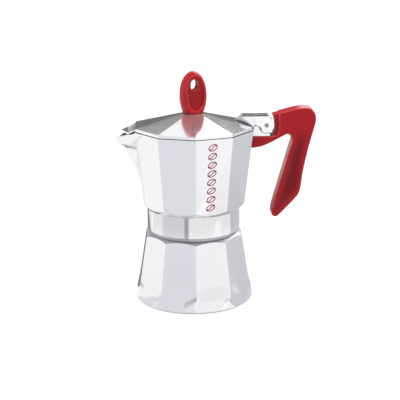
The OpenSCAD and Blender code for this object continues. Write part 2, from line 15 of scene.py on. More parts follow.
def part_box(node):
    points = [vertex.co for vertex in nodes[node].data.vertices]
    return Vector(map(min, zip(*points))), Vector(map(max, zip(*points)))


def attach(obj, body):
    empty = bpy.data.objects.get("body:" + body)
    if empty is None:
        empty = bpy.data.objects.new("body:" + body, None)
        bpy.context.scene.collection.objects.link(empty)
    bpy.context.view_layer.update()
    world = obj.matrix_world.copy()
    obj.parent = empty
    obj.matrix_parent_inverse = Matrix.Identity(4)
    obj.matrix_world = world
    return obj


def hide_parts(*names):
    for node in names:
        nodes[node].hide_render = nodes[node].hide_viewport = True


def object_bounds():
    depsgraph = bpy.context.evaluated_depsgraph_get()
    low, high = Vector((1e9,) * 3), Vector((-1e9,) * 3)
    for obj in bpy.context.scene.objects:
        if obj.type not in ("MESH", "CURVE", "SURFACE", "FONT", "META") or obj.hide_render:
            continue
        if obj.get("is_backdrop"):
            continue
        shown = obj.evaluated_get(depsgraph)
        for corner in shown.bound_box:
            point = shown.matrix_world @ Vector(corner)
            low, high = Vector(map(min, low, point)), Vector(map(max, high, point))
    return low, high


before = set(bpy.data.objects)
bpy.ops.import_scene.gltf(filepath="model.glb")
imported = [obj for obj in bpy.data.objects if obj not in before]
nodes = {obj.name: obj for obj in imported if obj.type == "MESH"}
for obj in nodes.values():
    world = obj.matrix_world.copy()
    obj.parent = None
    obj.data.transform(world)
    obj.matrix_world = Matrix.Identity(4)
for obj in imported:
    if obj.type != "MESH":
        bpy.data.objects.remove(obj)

cad_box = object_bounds()
MM = 0.001
print("frame:", len(nodes), "nodes, box", [round(v, 4) for v in (*cad_box[0], *cad_box[1])])

# %% [markdown]
# The camera comes early, so that each later step can be judged through it. A long lens from 0.86 m
# away, about sixteen degrees above the table, keeps the facets nearly parallel. The lens is given,
# as found from the angle that the pot fills, so the sensor stays at its usual 36 mm.

# %% Place the camera
CAMERA_AT = Vector((-33.70, -825.15, 307.05)) * MM
CAMERA_LOOKS_AT = Vector((4.765, -0.222, 74.16)) * MM
CAMERA_ROLL = math.radians(-0.25)
LENS = 103.5
SENSOR = 36.0
NEAREST = 0.05

camera_data = bpy.data.cameras.new("camera")
camera_data.lens = LENS
camera_data.sensor_width = SENSOR
camera_data.clip_start = NEAREST
camera = bpy.data.objects.new("camera", camera_data)
bpy.context.scene.collection.objects.link(camera)
towards = (CAMERA_LOOKS_AT - CAMERA_AT).normalized()
turn = towards.to_track_quat("-Z", "Y").to_matrix() @ Matrix.Rotation(CAMERA_ROLL, 3, "Z")
camera.matrix_world = Matrix.Translation(CAMERA_AT) @ turn.to_4x4()
bpy.context.scene.camera = camera
print("camera distance", round((CAMERA_LOOKS_AT - CAMERA_AT).length, 3), "m")

# %% [markdown]
# Polished metal shows its surroundings more than itself. The light is a white room: an even white
# sky, a wide soft lamp on each side, and one behind that the metal is allowed to mirror.

# %% Light the room
world = bpy.data.worlds.new("white_room")
bpy.context.scene.world = world
world.use_nodes = True
sky = world.node_tree.nodes["Background"]
sky.inputs["Color"].default_value = (1.0, 1.0, 1.0, 1.0)
sky.inputs["Strength"].default_value = 1.0
bpy.context.scene.view_settings.view_transform = "Standard"


POT_MIDDLE = Vector((0, 0, 0.08))


def soft_lamp(name, at, size, watts):
    """A square lamp that faces the pot's middle."""
    data = bpy.data.lights.new(name, "AREA")
    data.size = size
    data.energy = watts
    lamp = bpy.data.objects.new(name, data)
    bpy.context.scene.collection.objects.link(lamp)
    aim = (POT_MIDDLE - Vector(at)).to_track_quat("-Z", "Y")
    lamp.matrix_world = Matrix.Translation(at) @ aim.to_matrix().to_4x4()
    lamp.visible_camera = False
    lamp.visible_glossy = False
    return lamp


soft_lamp("lamp_right", (1.1, -0.9, 1.3), 0.9, 7.0)
soft_lamp("lamp_left", (-1.2, -0.5, 1.1), 0.8, 5.0)
soft_lamp("lamp_back", (0.5, 1.0, 0.9), 0.9, 11.0).visible_glossy = True

# %% [markdown]
# Every finish is built from the same few effects, so each effect is a node group that is made once.
# These helpers keep the node work readable: one adds a node and sets it, some do a small sum or mix
# two colours, and one opens a new group with named inputs and outputs.


# %% Helpers for node trees
def add(tree, kind, inputs=None, **settings):
    """Adds a node, sets its properties, and fills inputs by name or number."""
    node = tree.nodes.new(kind)
    for key, value in settings.items():
        setattr(node, key, value)
    for key, value in (inputs or {}).items():
        if isinstance(value, bpy.types.NodeSocket):
            tree.links.new(value, node.inputs[key])
        else:
            node.inputs[key].default_value = value
    return node


def maths(tree, operation, a, b=0.0, c=0.0, clamp=False):
    """One Math node, and its result."""
    node = add(tree, "ShaderNodeMath", {0: a, 1: b, 2: c}, operation=operation, use_clamp=clamp)
    return node.outputs[0]


def vector_maths(tree, operation, inputs, result=0):
    """One Vector Math node, and its result."""
    return add(tree, "ShaderNodeVectorMath", inputs, operation=operation).outputs[result]


def noise(tree, place, scale, **settings):
    """A noise texture's value; settings name its inputs."""
    inputs = {key.title(): value for key, value in settings.items()}
    return add(tree, "ShaderNodeTexNoise", {"Vector": place, "Scale": scale, **inputs}).outputs[0]


def object_place(tree):
    """The point on the piece, in the piece's own coordinates."""
    return add(tree, "ShaderNodeTexCoord").outputs["Object"]


def use_group(tree, group, inputs=None):
    """Places a node group in a tree, with its own values."""
    node = tree.nodes.new("ShaderNodeGroup")
    node.node_tree = group
    for key, value in (inputs or {}).items():
        node.inputs[key].default_value = value
    return node


def between(tree, value, low, high):
    """0 below low and 1 above high, smoothly."""
    node = add(tree, "ShaderNodeMapRange", {"Value": value, "From Min": low, "From Max": high})
    node.interpolation_type = "SMOOTHSTEP"
    return node.outputs["Result"]


def stretch_range(tree, value, low, high, to_low, to_high):
    """Maps low..high onto to_low..to_high in a straight line, and holds it at the ends."""
    return add(tree, "ShaderNodeMapRange", {"Value": value, "From Min": low, "From Max": high,
                                            "To Min": to_low, "To Max": to_high}).outputs[0]


def mix_colour(tree, factor, a, b):
    """Colour a where the factor is 0, and b where it is 1."""
    node = add(tree, "ShaderNodeMix", data_type="RGBA")
    for key, value in ((0, factor), (6, a), (7, b)):
        if isinstance(value, bpy.types.NodeSocket):
            tree.links.new(value, node.inputs[key])
        else:
            node.inputs[key].default_value = value
    return node.outputs[2]


def new_group(name, inputs, outputs):
    """A shader node group; inputs and outputs are lists of (name, socket type, default)."""
    tree = bpy.data.node_groups.new(name, "ShaderNodeTree")
    for label, kind, default in inputs:
        socket = tree.interface.new_socket(label, in_out="INPUT", socket_type="NodeSocket" + kind)
        if default is not None:
            socket.default_value = default
    for label, kind in outputs:
        tree.interface.new_socket(label, in_out="OUTPUT", socket_type="NodeSocket" + kind)
    return tree, tree.nodes.new("NodeGroupInput").outputs, tree.nodes.new("NodeGroupOutput").inputs


def give_results(tree, result, values):
    """Joins each named value to the group's output of that name."""
    for label, value in values.items():
        tree.links.new(value, result[label])


def new_material(name, **constants):
    """A material with its Principled node; constants are set on the node's own sockets."""
    material = bpy.data.materials.new(name)
    material.use_nodes = True
    shader = material.node_tree.nodes["Principled BSDF"]
    for key, value in constants.items():
        label = key.replace("_", " ").title().replace("Ior", "IOR")
        shader.inputs[label].default_value = value
    return material, material.node_tree, shader


def finish_shader(tree, shader, colour, rough, height, strength, distance):
    """Joins colour and roughness to the Principled node, and a height through a Bump node."""
    bump = add(tree, "ShaderNodeBump",
               {"Strength": strength, "Distance": distance, "Height": height})
    tree.links.new(colour, shader.inputs["Base Color"])
    tree.links.new(rough, shader.inputs["Roughness"])
    tree.links.new(bump.outputs[0], shader.inputs["Normal"])


print("helpers ready")

# %% [markdown]
# **Metal grain.** A polished casting is never even. The buffing wheel leaves fine lines in one
# direction, the cast skin leaves tiny pits, and hands leave cloudy patches. The group stretches one
# noise along an axis for the lines, keeps a fine one for the pits, and a broad one for the clouds.

# %% Group: metal grain
PIT_SCALE = 1400.0
LINE_SHARE = 0.6

tree, given, result = new_group(
    "metal_grain",
    [("Stretch", "Vector", (1.0, 1.0, 0.03)), ("Line Scale", "Float", 900.0),
     ("Cloud Scale", "Float", 28.0), ("Pits", "Float", 0.4)],
    [("Lines", "Float"), ("Clouds", "Float"), ("Height", "Float")])
place = object_place(tree)
stretched = vector_maths(tree, "MULTIPLY", {0: place, 1: given["Stretch"]})
lines = noise(tree, stretched, given["Line Scale"], detail=3.0, roughness=0.6)
clouds = noise(tree, place, given["Cloud Scale"], detail=4.0, roughness=0.55)
pits = add(tree, "ShaderNodeTexVoronoi", {"Vector": place, "Scale": PIT_SCALE}).outputs["Distance"]
pit_mask = maths(tree, "SUBTRACT", 1.0, between(tree, pits, 0.05, 0.22))
pit_depth = maths(tree, "MULTIPLY", pit_mask, between(tree, clouds, 0.5, 0.62))
pit_depth = maths(tree, "MULTIPLY", pit_depth, given["Pits"])
height = maths(tree, "SUBTRACT", maths(tree, "MULTIPLY", lines, LINE_SHARE), pit_depth)
give_results(tree, result, {"Lines": lines, "Clouds": clouds, "Height": height})
metal_grain = tree
print(metal_grain.name, len(tree.nodes), "nodes")

# %% [markdown]
# ** Edges and hollows.** The crisp edge of a casting is painted brighter, partly as wear and partly
# as a painted highlight, and the hollow beside it is painted darker as painted shade. Pointiness
# tells convex from concave, and a little noise breaks the edge mask up.

# %% Group: edge wear and highlight, hollow shade
tree, given, result = new_group("edge_wear_highlight_and_hollow_shade", [("Wear And Highlight", "Float", 0.5), ("Hollow Shade", "Float", 0.5)],
                                [("Edge", "Float"), ("Hollow", "Float")])
point = add(tree, "ShaderNodeNewGeometry").outputs["Pointiness"]
edge_noise = noise(tree, object_place(tree), 260.0, detail=3.0)
# The convex mask lightens edges, partly as wear and partly as a painted highlight; the concave mask
# darkens hollows as painted shade.
worn_lit_edge = between(tree, maths(tree, "MULTIPLY_ADD", edge_noise, 0.02, point), 0.515, 0.56)
hollowed = maths(tree, "SUBTRACT", 1.0, between(tree, point, 0.44, 0.49))
edge = maths(tree, "MULTIPLY", worn_lit_edge, given["Wear And Highlight"], clamp=True)
hollow = maths(tree, "MULTIPLY", hollowed, given["Hollow Shade"], clamp=True)
give_results(tree, result, {"Edge": edge, "Hollow": hollow})
edge_wear_highlight_and_hollow_shade = tree
print(edge_wear_highlight_and_hollow_shade.name, len(tree.nodes), "nodes")

# %% [markdown]
# **Turned rings.** Whatever has been on a lathe keeps fine rings round its axis. The group takes
# the distance from an axis and turns it into rings for faces, and the height along it for sides.

# %% Group: turned rings
tree, given, result = new_group(
    "turned_rings",
    [("Centre", "Vector", (0.0, 0.0, 0.0)), ("Along", "Vector", (0.0, 0.0, 1.0)),
     ("Pitch", "Float", 0.00035)],
    [("Rings", "Float")])
offset = vector_maths(tree, "SUBTRACT", {0: object_place(tree), 1: given["Centre"]})
depth = vector_maths(tree, "DOT_PRODUCT", {0: offset, 1: given["Along"]}, "Value")
on_axis = vector_maths(tree, "SCALE", {0: given["Along"], "Scale": depth})
radial = vector_maths(tree, "SUBTRACT", {0: offset, 1: on_axis})
radius = vector_maths(tree, "LENGTH", {0: radial}, "Value")
turns = maths(tree, "DIVIDE", maths(tree, "ADD", radius, depth), given["Pitch"])
wave = maths(tree, "SINE", maths(tree, "MULTIPLY", turns, 2 * math.pi))
uneven = add(tree, "ShaderNodeTexNoise", {"W": turns, "Scale": 0.7, "Detail": 2.0},
             noise_dimensions="1D").outputs[0]
rings = maths(tree, "MULTIPLY_ADD", maths(tree, "MULTIPLY", wave, 0.5), uneven, 0.5)
give_results(tree, result, {"Rings": rings})
turned_rings = tree
print(turned_rings.name, len(tree.nodes), "nodes")

# %% [markdown]
# ** Places on a casting.** A casting is not one finish all over. Its inside is left dull, a lathe
# turns the collar, and the neck and shoulder under the collar are made rougher and painted dark
# grey as painted shade from the collar. Each place is a mask, found from the surface's direction
# and from where the point lies.

# %% Masks on a casting
EDGE_OF_BAND = 0.4 * MM
EDGE_OF_SHOULDER = 0.3 * MM
EDGE_OF_NECK = 0.2 * MM


def inside_mask(tree, normal, flat_place):
    """1 where the surface faces the pot's axis."""
    outwards = vector_maths(tree, "NORMALIZE", {0: flat_place})
    facing = vector_maths(tree, "DOT_PRODUCT", {0: normal, 1: outwards}, "Value")
    return maths(tree, "SUBTRACT", 1.0, between(tree, facing, -0.35, -0.1))


def band_mask(tree, z, band):
    """1 between two heights."""
    low, high = band
    above = between(tree, z, low, low + EDGE_OF_BAND)
    below = maths(tree, "SUBTRACT", 1.0, between(tree, z, high - EDGE_OF_BAND, high))
    return maths(tree, "MULTIPLY", above, below)


def shoulder_mask(tree, normal, flat_place, z, shoulder):
    """1 above a height, where the surface slopes upwards or lies within a radius."""
    low, neck = shoulder
    slope = add(tree, "ShaderNodeSeparateXYZ", {0: normal}).outputs[2]
    reach = vector_maths(tree, "LENGTH", {0: flat_place}, "Value")
    within = maths(tree, "SUBTRACT", 1.0, between(tree, reach, neck, neck + EDGE_OF_NECK))
    return maths(tree, "MULTIPLY", between(tree, z, low, low + EDGE_OF_SHOULDER),
                 maths(tree, "MAXIMUM", between(tree, slope, 0.4, 0.6), within))


print("casting masks ready")

# %% [markdown]
# ** Aluminium.** The boiler, the collector and the lid are cast, then buffed outside and left dull
# inside. One function makes all three, with its own buffing direction and gloss. The crevices where
# pieces meet are painted darker from ambient occlusion, as painted shade.

# %% Materials: cast aluminium
INSIDE_GREY = (0.62, 0.62, 0.63, 1)
# The next four tones are painted light: shoulder shade, an edge highlight that is partly wear,
# hollow shade and crevice shade.
SHOULDER_SHADE_GREY = (0.36, 0.36, 0.39, 1)
WORN_AND_LIT_EDGE = (0.97, 0.97, 0.98, 1)
HOLLOW_SHADE_GREY = (0.35, 0.35, 0.37, 1)
CREVICE_SHADE_GREY = (0.16, 0.16, 0.18, 1)
CREVICE_WIDTH = 4 * MM


def aluminium(name, tint, dull, gloss, stretch, collar=None, shoulder=None, metal=1.0):
    """Buffed casting. gloss is (smooth, hazy) roughness; collar is the (low, high) of the turned
    band, and shoulder the (height, radius) above and within which it is made rougher and painted
    dark grey as painted shade under the collar. metal below 1 gives the milky veil of a surface
    that was polished less finely."""
    material, tree, shader = new_material(name, metallic=metal)
    coords = add(tree, "ShaderNodeTexCoord").outputs
    grain = use_group(tree, metal_grain, {"Stretch": stretch}).outputs
    edges = use_group(tree, edge_wear_highlight_and_hollow_shade).outputs
    x, y, z = add(tree, "ShaderNodeSeparateXYZ", {0: coords["Object"]}).outputs
    flat_place = add(tree, "ShaderNodeCombineXYZ", {0: x, 1: y}).outputs[0]
    inside = inside_mask(tree, coords["Normal"], flat_place)
    # Painted shade: the shoulder under the collar is painted dark grey, standing for the collar's
    # shade.
    shaded_shoulder = shoulder_mask(tree, coords["Normal"], flat_place, z, shoulder) if shoulder else 0.0
    haze = maths(tree, "ADD", maths(tree, "MULTIPLY", grain["Clouds"], 0.6),
                 maths(tree, "MULTIPLY", grain["Lines"], 0.4))
    rough = stretch_range(tree, haze, 0.35, 0.65, *gloss)
    for mask, roughest in ((inside, 0.42), (shaded_shoulder, 0.34)):
        rough = maths(tree, "MAXIMUM", rough, maths(tree, "MULTIPLY", mask, roughest))
    rough = maths(tree, "ADD", rough, maths(tree, "MULTIPLY", edges["Hollow"], 0.2))
    colour = mix_colour(tree, grain["Clouds"], tint, dull)
    # Painted light in the colour: the shoulder is painted dark grey as the collar's shade, edges
    # lighter as wear and painted highlight, and hollows darker as painted shade. The inside's grey
    # is its own dull finish.
    for mask, share, over in (
            (inside, 0.55, INSIDE_GREY), (shaded_shoulder, 0.9, SHOULDER_SHADE_GREY),
            (edges["Edge"], 1.0, WORN_AND_LIT_EDGE), (edges["Hollow"], 0.5, HOLLOW_SHADE_GREY)):
        colour = mix_colour(tree, maths(tree, "MULTIPLY", mask, share), colour, over)
    # Painted shade: crevices are painted darker from ambient occlusion.
    corner = add(tree, "ShaderNodeAmbientOcclusion", {"Distance": CREVICE_WIDTH}, samples=8)
    colour = mix_colour(tree, between(tree, corner.outputs["AO"], 0.15, 0.85), CREVICE_SHADE_GREY, colour)
    height = grain["Height"]
    if collar:
        rings = use_group(tree, turned_rings).outputs["Rings"]
        lathe = maths(tree, "MULTIPLY", rings, band_mask(tree, z, collar))
        height = maths(tree, "ADD", height, lathe)
    finish_shader(tree, shader, colour, rough, height, 0.12, 0.02 * MM)
    return material


COLLAR_H = 16 * MM
UPRIGHT, EVERY_WAY = (1.0, 1.0, 0.03), (1.0, 1.0, 1.0)
collar_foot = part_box("collector")[0].z
boiler_metal = aluminium("boiler_aluminium", (0.83, 0.83, 0.845, 1), (0.79, 0.79, 0.805, 1),
                         (0.09, 0.17), UPRIGHT, shoulder=(49.5 * MM, 34.2 * MM))
# The collector's tint is a shaded copy of the same aluminium: it is painted darker to offset the
# bright floor that its facets mirror.
collector_metal = aluminium("collector_aluminium", (0.72, 0.72, 0.735, 1), (0.69, 0.69, 0.705, 1),
                            (0.08, 0.16), UPRIGHT, collar=(collar_foot, collar_foot + COLLAR_H))
lid_metal = aluminium("lid_aluminium", (0.87, 0.87, 0.88, 1), (0.82, 0.82, 0.84, 1),
                      (0.08, 0.16), EVERY_WAY, metal=0.87)
print("castings:", boiler_metal.name, collector_metal.name, lid_metal.name)

# %% [markdown]
# **Small metal parts.** Screws, washers, the pin, the valve and the pressed sheet parts have been
# turned or stamped, so rings round their own axis are what a magnifier shows on them.

# %% Materials: turned and pressed metal
def turned_metal(name, tints, gloss, centre=(0, 0, 0), along=(0, 0, 1), pitch=0.3 * MM):
    """Metal with lathe rings round an axis. tints is its (bright, dull) colours."""
    material, tree, shader = new_material(name, metallic=1.0)
    clouds = use_group(tree, metal_grain, {"Cloud Scale": 160.0}).outputs["Clouds"]
    rings = use_group(tree, turned_rings, {"Centre": centre, "Along": along, "Pitch": pitch})
    rings = rings.outputs["Rings"]
    rough = stretch_range(tree, clouds, 0.3, 0.7, *gloss)
    rough = maths(tree, "MULTIPLY_ADD", rings, 0.06, rough)
    finish_shader(tree, shader, mix_colour(tree, clouds, *tints), rough, rings, 0.3, 0.03 * MM)
    return material


def middle(node):
    """The middle of a node's box."""
    low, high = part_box(node)
    return tuple((low + high) / 2)


VALVE_ANGLE = math.radians(108)
valve_along = (math.cos(VALVE_ANGLE), math.sin(VALVE_ANGLE), 0.0)
STEEL = ((0.66, 0.67, 0.69, 1), (0.52, 0.53, 0.56, 1))
DARK_STEEL = ((0.34, 0.34, 0.36, 1), (0.22, 0.22, 0.24, 1))
BRASS = ((0.83, 0.66, 0.33, 1), (0.66, 0.49, 0.22, 1))
SHEET = ((0.86, 0.86, 0.88, 1), (0.74, 0.74, 0.77, 1))
steel = turned_metal("steel", STEEL, (0.18, 0.34))
pin_steel = turned_metal("pin_steel", DARK_STEEL, (0.2, 0.34), middle("hinge_pin"), (0, 1, 0))
handle_screw_steel = turned_metal("handle_screw_steel", STEEL, (0.18, 0.34), middle("handle_screw"))
valve_steel = turned_metal("valve_steel", STEEL, (0.2, 0.36), middle("valve_plunger"), valve_along)
valve_brass = turned_metal("valve_brass", BRASS, (0.2, 0.36), middle("valve_body"), valve_along)
insert_brass = turned_metal("insert_brass", BRASS, (0.22, 0.38))
sheet_metal = turned_metal("sheet_aluminium", SHEET, (0.24, 0.4), pitch=0.6 * MM)
print("turned metals ready")

# %% [markdown]
# ** Red plastic.** The handle and the knob are moulded in a hard gloss red. Moulding leaves a faint
# orange-peel, slow waves of colour, and fine scratches that show only in the gloss. The rims are
# painted a little paler as a painted highlight. The sunk faces are painted darker as painted shade:
# each moulding stores how far a point is sunk, from 0 to 1, and the material reads it. Crevices are
# painted darker from ambient occlusion, as painted shade.

# %% Material: red plastic
REDS = ((0.47, 0.011, 0.018, 1), (0.41, 0.008, 0.015, 1))
# The rim, recess and crevice reds below are painted highlight and painted shade.
RIM_HIGHLIGHT_RED = (0.66, 0.11, 0.10, 1)
RECESS_SHADE_RED = (0.12, 0.002, 0.006, 1)
CREVICE_SHADE_RED = (0.10, 0.002, 0.005, 1)

red_plastic, tree, shader = new_material("red_plastic", ior=1.28)
place = object_place(tree)
waves = noise(tree, place, 45.0, detail=3.0)
peel = noise(tree, place, 900.0, detail=2.0)
scratch = noise(tree, place, 150.0, detail=6.0, roughness=0.7)
edges = use_group(tree, edge_wear_highlight_and_hollow_shade, {"Wear And Highlight": 0.6}).outputs
sunk = add(tree, "ShaderNodeAttribute", attribute_name="sunk").outputs["Fac"]
corner = add(tree, "ShaderNodeAmbientOcclusion", {"Distance": 6 * MM}, samples=8).outputs["AO"]
red = mix_colour(tree, waves, *REDS)
# Painted light: rims are painted paler as a highlight, sunk faces darker as shade, and crevices
# darker from ambient occlusion as shade.
red = mix_colour(tree, edges["Edge"], red, RIM_HIGHLIGHT_RED)
red = mix_colour(tree, maths(tree, "MULTIPLY", sunk, 0.62), red, RECESS_SHADE_RED)
red = mix_colour(tree, between(tree, corner, 0.1, 0.85), CREVICE_SHADE_RED, red)
rough = stretch_range(tree, scratch, 0.4, 0.75, 0.26, 0.40)
finish_shader(tree, shader, red, rough, peel, 0.15, 0.03 * MM)
print(red_plastic.name, len(tree.nodes), "nodes")

# %% [markdown]
# **Seal.** The gasket and the valve's washer are pale silicone rubber: matt, slightly cloudy, with
# the fine grit of its filler under the fingers and a soft sheen at grazing angles.

# %% Material: seal rubber
seal_rubber, tree, shader = new_material("seal_rubber", sheen_weight=0.25, sheen_roughness=0.5)
place = object_place(tree)
cloud = noise(tree, place, 120.0, detail=4.0)
grit = add(tree, "ShaderNodeTexVoronoi", {"Vector": place, "Scale": 1500.0}).outputs["Distance"]
body = mix_colour(tree, cloud, (0.84, 0.82, 0.76, 1), (0.73, 0.71, 0.64, 1))
rough = maths(tree, "MULTIPLY_ADD", cloud, 0.2, 0.5)
finish_shader(tree, shader, body, rough, grit, 0.3, 0.04 * MM)
print(seal_rubber.name, len(tree.nodes), "nodes")

# %% [markdown]
# The small CAD parts already have the right shape, so each only gets its finish. Their place is in
# their mesh, and the finish reads that place, so the rings stay centred on the right axis.

# %% Dress the small parts
FINISHES = {
    "hinge_pin": pin_steel, "knob_screw": steel, "knob_washer": steel,
    "handle_screw": handle_screw_steel, "handle_washer": handle_screw_steel,
    "funnel_sieve": steel, "filter_plate": steel,
    "valve_plunger": valve_steel, "valve_seat": valve_steel, "valve_spring": valve_steel,
    "valve_body": valve_brass, "knob_insert": insert_brass, "funnel": sheet_metal,
    "gasket": seal_rubber, "valve_washer": seal_rubber,
}


def dress(piece, material):
    """Gives a piece its one material."""
    piece.data.materials.clear()
    piece.data.materials.append(material)


for name, material in FINISHES.items():
    dress(nodes[name], material)
print("dressed", len(FINISHES), "small parts")

# %% [markdown]
# **Castings with real edges.** No casting has a knife edge. Each large casting is copied from the
# frame, its loose triangles are merged into flat faces, and a fine bevel rounds every corner, so
# that each facet ends in its own thin line of light. First come the helpers that this needs.

# %% Helpers: a merged copy of a node
WELD = 0.002 * MM
FLAT_WITHIN = math.radians(1.0)


def deselect():
    """Deselects everything, because an operator acts on all that is selected."""
    bpy.ops.object.select_all(action="DESELECT")


def pick(piece):
    """Selects one piece and makes it active."""
    deselect()
    piece.select_set(True)
    bpy.context.view_layer.objects.active = piece


def merged_copy(node, name):
    """The node's shape as one closed mesh with flat faces, ready for modelling."""
    piece = bpy.data.objects.new(name, nodes[node].data.copy())
    bpy.context.scene.collection.objects.link(piece)
    pick(piece)
    bpy.ops.mesh.customdata_custom_splitnormals_clear()
    bpy.ops.object.mode_set(mode="EDIT")
    bpy.ops.mesh.select_all(action="SELECT")
    bpy.ops.mesh.remove_doubles(threshold=WELD)
    bpy.ops.mesh.dissolve_limited(angle_limit=FLAT_WITHIN)
    bpy.ops.object.mode_set(mode="OBJECT")
    return piece


def apply_modifier(piece, name, kind, **settings):
    """Adds a modifier, sets it, and applies it."""
    modifier = piece.modifiers.new(name, kind)
    for key, value in settings.items():
        setattr(modifier, key, value)
    pick(piece)
    bpy.ops.object.modifier_apply(modifier=modifier.name)


print("mesh helpers ready")

# %% [markdown]
# Some shapes are pressed rather than cut, such as a scoop or a foot that is eased round. There each
# point moves by an amount that fades smoothly, so the points are read, moved and put back together.

# %% Helpers: move the points of a piece
def points_of(piece):
    """All the piece's points, as rows of x, y and z."""
    flat_list = np.empty(len(piece.data.vertices) * 3, np.float32)
    piece.data.vertices.foreach_get("co", flat_list)
    return flat_list.reshape(-1, 3).astype(float)


def put_points(piece, points):
    """Puts the moved points back."""
    piece.data.vertices.foreach_set("co", points.astype(np.float32).ravel())
    piece.data.update()


def ramp(value, low, high):
    """0 below low and 1 above high, smoothly."""
    share = np.clip((value - low) / (high - low), 0, 1)
    return share * share * (3 - 2 * share)


def store(piece, name, values):
    """Keeps one number for each vertex, for the material to read."""
    kept = piece.data.attributes.new(name, "FLOAT", "POINT")
    kept.data.foreach_set("value", values.astype(np.float32))


print("point helpers ready")

# %% [markdown]
# The boiler's foot is round, though its body has ten facets. The facets are cut into level strips
# and narrow wedges, and the outer points are then eased outwards or inwards onto a circle.

# %% Helper: the round foot
WEDGES = 30
OUTER_SHARE = 0.9
EDGE_H, EDGE_IN = 0.4 * MM, 0.8 * MM


def round_foot(piece, radius, height):
    """Cuts the facets into strips, then eases their lower ends into the foot without a crease."""
    pick(piece)
    bpy.ops.object.mode_set(mode="EDIT")
    cuts = [((0, 0, height * part), (0, 0, 1)) for part in (0.25, 0.5, 0.75, 1.0)]
    for i in range(WEDGES):
        angle = math.pi * i / WEDGES
        cuts.append(((0, 0, 0), (-math.sin(angle), math.cos(angle), 0)))
    for point, normal in cuts:
        bpy.ops.mesh.select_all(action="SELECT")
        bpy.ops.mesh.bisect(plane_co=point, plane_no=normal)
    bpy.ops.object.mode_set(mode="OBJECT")
    spots = points_of(piece)
    reach = np.hypot(spots[:, 0], spots[:, 1])
    outer = reach > radius * OUTER_SHARE
    share = np.where(outer, 1 - ramp(spots[:, 2], 0, height), 0)
    target = radius - np.where(spots[:, 2] < EDGE_H, EDGE_IN, 0)
    spots[:, :2] *= (1 + share * (target / np.maximum(reach, 1e-6) - 1))[:, None]
    put_points(piece, spots)


print("foot helper ready")

# %% [markdown]
# All three castings go the same way: merged, bevelled, shaded smooth, and then given weighted
# normals, so that the wide facets stay flat and only the fine bevels bend the light.

# %% Make the three castings
SHARP = math.radians(7)


def casting(node, name, material, edge, foot=None):
    """A bevelled copy of a casting, which rides the body of the same name as its node."""
    piece = merged_copy(node, name)
    if foot:
        round_foot(piece, *foot)
    apply_modifier(piece, "edges", "BEVEL", width=edge, segments=2, limit_method="ANGLE",
                   angle_limit=SHARP)
    pick(piece)
    bpy.ops.object.shade_smooth()
    apply_modifier(piece, "facets", "WEIGHTED_NORMAL", weight=100, keep_sharp=False)
    dress(piece, material)
    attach(piece, node)
    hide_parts(node)
    print(name, len(piece.data.polygons), "faces")
    return piece


boiler = casting("boiler", "boiler_casting", boiler_metal, 0.35 * MM,
                 foot=(43.7 * MM, 20 * MM))
collector = casting("collector", "collector_casting", collector_metal, 0.35 * MM)
lid = casting("lid", "lid_casting", lid_metal, 0.25 * MM)

# %% [markdown]
# **Moulded handle.** Plastic parts have generous round edges, and the grip is scooped on each side
# for the fingers. The edges of the outline have to be found first: each lies between a flat side
# and the rim, so the directions of its two faces give it away.

# %% Helper: the outline of a flat-sided moulding
def select_outline(piece, axis, keep):
    """Selects the edges between a face across the axis and its rim, where keep(point) is true."""
    pick(piece)
    bpy.ops.object.mode_set(mode="EDIT")
    bpy.ops.mesh.select_mode(type="EDGE")
    bpy.ops.mesh.select_all(action="DESELECT")
    bpy.ops.object.mode_set(mode="OBJECT")
    mesh = piece.data
    faces = {}
    for face in mesh.polygons:
        for key in face.edge_keys:
            faces.setdefault(key, []).append(abs(face.normal.dot(axis)))
    count = 0
    for edge in mesh.edges:
        sides = faces[edge.key]
        start, end = (mesh.vertices[i].co for i in edge.vertices)
        centre = (start + end) / 2
        if len(sides) == 2 and max(sides) > 0.98 and min(sides) < 0.3 and keep(centre):
            edge.select = True
            count += 1
    bpy.ops.object.mode_set(mode="EDIT")
    return count


print("outline helper ready")

# %% [markdown]
# The outline is bevelled except close to the hinge. A voxel remesh then gives an even skin, which
# the scoop can be pressed into.

# %% Shape the handle
ROUND_EDGE = 2.6 * MM
HANDLE_SKIN = 0.45 * MM
SIDE_SLACK = 0.1 * MM
HINGE_REACH, HINGE_DROP = 12 * MM, 9 * MM

handle_low, handle_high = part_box("handle")
handle_half = (handle_high.y - handle_low.y) / 2
pin_at = Vector(middle("hinge_pin"))
handle = merged_copy("handle", "handle_moulding")
side = Vector((0, 1, 0))


def rounded(point):
    """True on the handle's sides, but not close to the hinge."""
    away = point.x > pin_at.x + HINGE_REACH or point.z < pin_at.z - HINGE_DROP
    return abs(point.y) > handle_half - SIDE_SLACK and away


count = select_outline(handle, side, rounded)
bpy.ops.mesh.bevel(offset=ROUND_EDGE, segments=4, profile=0.5, clamp_overlap=True)
bpy.ops.object.mode_set(mode="OBJECT")
apply_modifier(handle, "skin", "REMESH", mode="VOXEL", voxel_size=HANDLE_SKIN)
print("handle outline edges", count, "skin faces", len(handle.data.polygons))

# %% [markdown]
# The scoop is deepest along the middle of the grip and fades out towards the outline and the arm.
# The distance of each point from the outline, seen from the side, says how far it may sink.

# %% Helper: distance from the outline
def distance_to(points, starts, ends):
    """Distance in side view of each point to the nearest of the segments."""
    best = np.full(len(points), 1.0)
    for start, end in zip(starts, ends):
        run = end - start
        share = np.clip(((points - start) @ run) / max(run @ run, 1e-12), 0, 1)
        best = np.minimum(best, np.linalg.norm(points - start - share[:, None] * run, axis=1))
    return best


